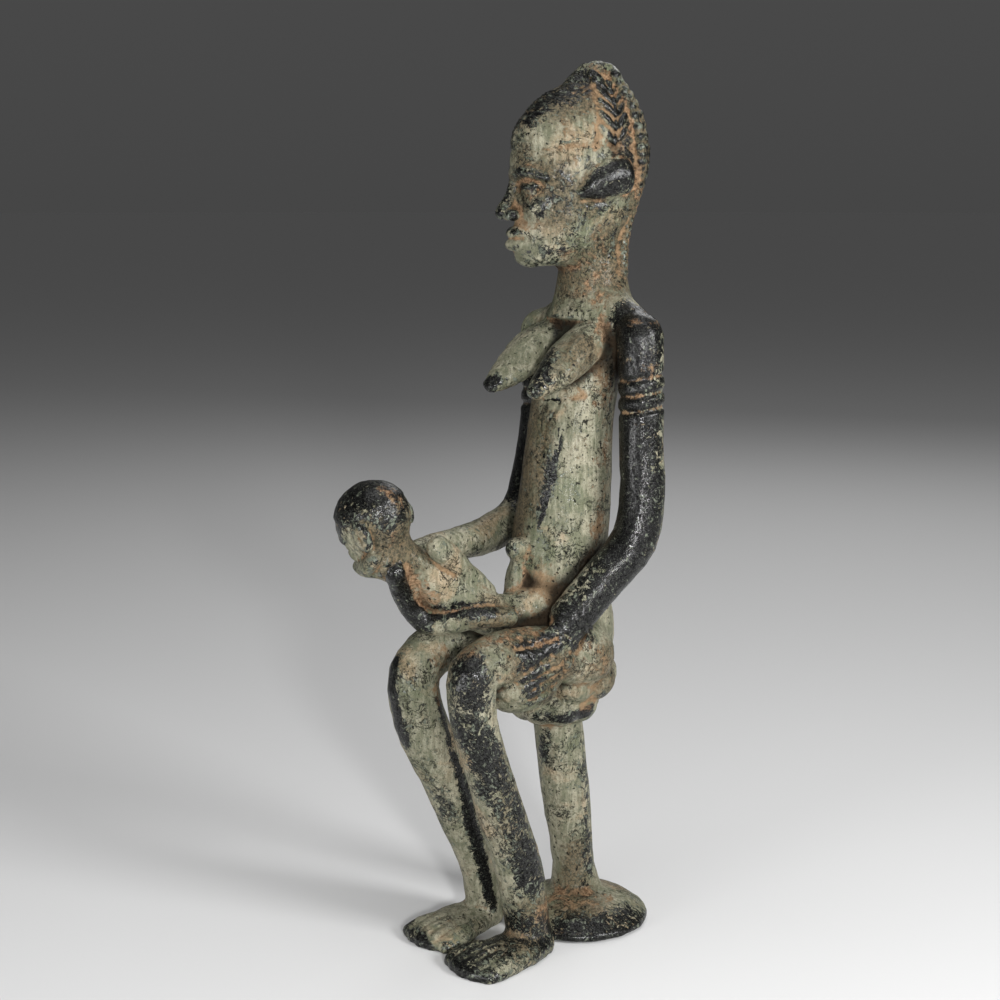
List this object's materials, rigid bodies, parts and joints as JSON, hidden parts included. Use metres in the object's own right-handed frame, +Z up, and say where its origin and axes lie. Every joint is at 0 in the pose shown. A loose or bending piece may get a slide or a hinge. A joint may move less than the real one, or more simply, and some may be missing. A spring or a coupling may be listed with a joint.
{
  "type": "maternity figure",
  "caption": "Slender seated mother on a small round stool, one hand at her side and the other holding the head of a child that lies across her lap, cast as one piece.",
  "frame": {"origin": "on the ground, under the lower end of the stool's stem", "axes": "+Z up; the figure faces -Y and her left side is +X; she leans and looks a little to her right"},
  "size_m": [0.0853, 0.1358, 0.3603],
  "materials": {
    "bronze": "old cast bronze: grey-green and olive patina, worn near-black and glossy on the near arm, shins and raised parts, with orange-brown earth in the recesses"
  },
  "bodies": {
    "root": {"maternity_figure": "bronze"}
  },
  "joints": []
}
